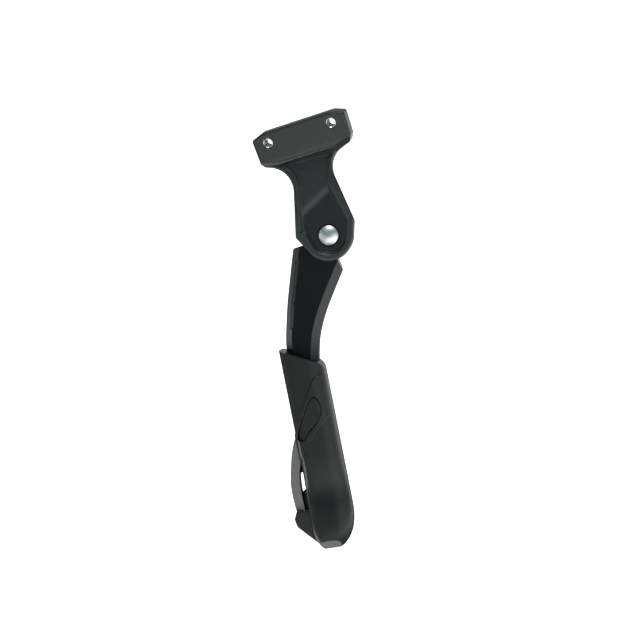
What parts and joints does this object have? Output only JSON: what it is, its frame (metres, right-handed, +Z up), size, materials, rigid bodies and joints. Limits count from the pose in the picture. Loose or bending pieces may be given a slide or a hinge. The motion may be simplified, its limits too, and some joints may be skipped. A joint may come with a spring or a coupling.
{
  "type": "bicycle kickstand",
  "caption": "Rear-triangle bicycle kickstand: forged two-bolt bracket, swinging bevelled leg and a moulded telescoping foot with a release button and kick spur.",
  "frame": {"origin": "midpoint between the two bolt holes, on the mounting face", "axes": "+Y out of the mounting face toward the bicycle, +Z up, +X toward the rear of the bicycle; the stand is down and its foot is at its shortest"},
  "size_m": [0.0703, 0.0714, 0.2624],
  "materials": {
    "bracket_coat": "satin black powder coat on forged aluminium",
    "leg_coat": "satin black powder coat on forged aluminium",
    "polished_steel": "bright polished",
    "plain_steel": "ground",
    "spring_steel": "drawn",
    "black_steel": "black oxide",
    "bush_acetal": "natural acetal",
    "foot_nylon": "fine moulded grain, satin",
    "button_nylon": "fine moulded grain, satin"
  },
  "bodies": {
    "bracket": {"mount_bracket": "bracket_coat", "pivot_pin": "polished_steel", "detent_spring": "spring_steel"},
    "plunger": {"detent_plunger": "plain_steel"},
    "leg": {"leg": "leg_coat", "front_bush": "bush_acetal", "rear_bush": "bush_acetal"},
    "foot": {"foot_shell": "foot_nylon", "button_pin": "plain_steel", "button_spring": "spring_steel", "travel_screw": "black_steel"},
    "button": {"release_button": "button_nylon", "grip_shoe": "plain_steel"}
  },
  "joints": [
    {"name": "leg_swing", "type": "hinge", "parent": "bracket", "child": "leg", "pos_m": [0.0188, -0.01067, -0.06172], "axis": [0, -0.9659, 0.2588], "range_deg": [0, 105]},
    {"name": "foot_extension", "type": "slide", "parent": "leg", "child": "foot", "axis": [0.2385, -0.2513, -0.938], "range_m": [0, 0.038]},
    {"name": "button_press", "type": "hinge", "parent": "foot", "child": "button", "pos_m": [0.01205, -0.04756, -0.16655], "axis": [0.9673, -0.0657, -0.2451], "range_deg": [0, 3.5], "stiffness_Nm_per_rad": 0.3, "springref_deg": -5.73, "deforming": ["button_spring"]},
    {"name": "detent_plunge", "type": "slide", "parent": "bracket", "child": "plunger", "axis": [0.2706, -0.0599, -0.9608], "range_m": [0, 0.001], "stiffness_N_per_m": 400, "deforming": ["detent_spring"]}
  ]
}
